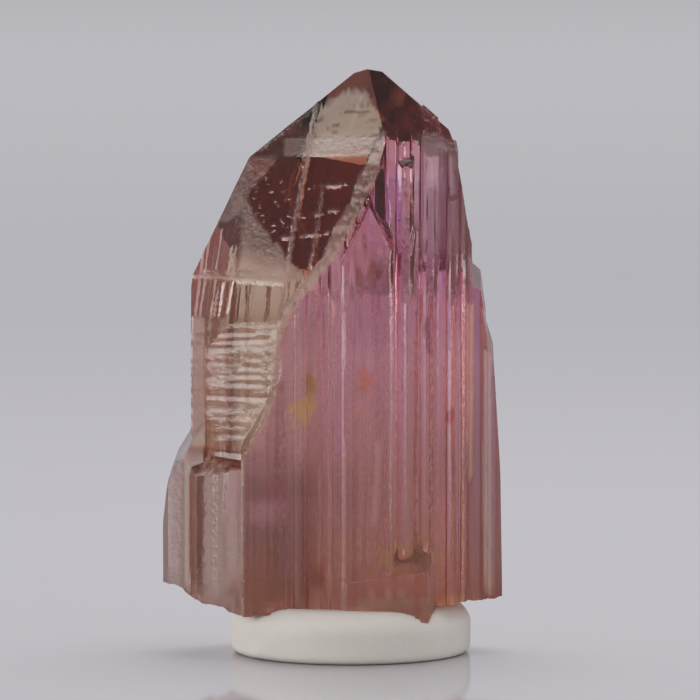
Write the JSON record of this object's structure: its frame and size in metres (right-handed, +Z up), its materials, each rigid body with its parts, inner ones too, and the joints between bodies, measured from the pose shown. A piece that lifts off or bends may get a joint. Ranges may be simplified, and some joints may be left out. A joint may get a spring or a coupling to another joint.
{
  "type": "tanzanite crystal specimen",
  "caption": "Pink tanzanite crystal with striated columns and smooth end faces, standing on a pressed disc of white display putty.",
  "frame": {"origin": "on the surface that the putty rests on, under the middle of the whole object", "axes": "+Z up along the crystal's columns, -Y out of the face that the picture shows, +X to the picture's right"},
  "size_m": [0.0128, 0.0092, 0.0222],
  "materials": {
    "pink_tanzanite": "clear pink gem crystal with glossy, striated growth faces",
    "white_putty": "matt off-white display putty"
  },
  "bodies": {
    "root": {"crystal": "pink_tanzanite", "putty_disc": "white_putty"}
  },
  "joints": []
}
